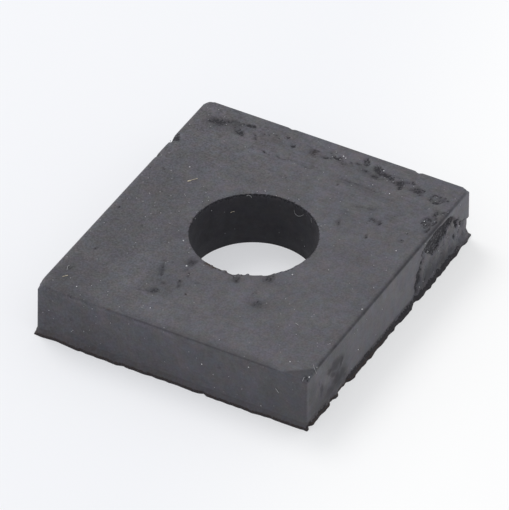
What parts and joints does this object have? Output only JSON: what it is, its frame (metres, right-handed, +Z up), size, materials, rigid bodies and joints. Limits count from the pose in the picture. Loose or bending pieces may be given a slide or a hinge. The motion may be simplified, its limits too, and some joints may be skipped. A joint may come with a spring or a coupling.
{
  "type": "rubber pad",
  "caption": "Low rectangular block of grey moulded rubber with a round hole straight through it, for use as a pad, spacer or foot; worn, with a torn side and flash round its foot.",
  "frame": {"origin": "where the hole's axis meets the pad's flat underside", "axes": "+Z up along the hole's axis, out of the top; +Y along the pad's longer side, towards the end with the tear; +X along its shorter side, towards the torn wall"},
  "size_m": [0.0362, 0.0411, 0.0072],
  "materials": {
    "moulded_rubber": "matt grey bloom over black rubber, blacker where it is cut, torn or scuffed"
  },
  "bodies": {
    "root": {"pad": "moulded_rubber"}
  },
  "joints": []
}
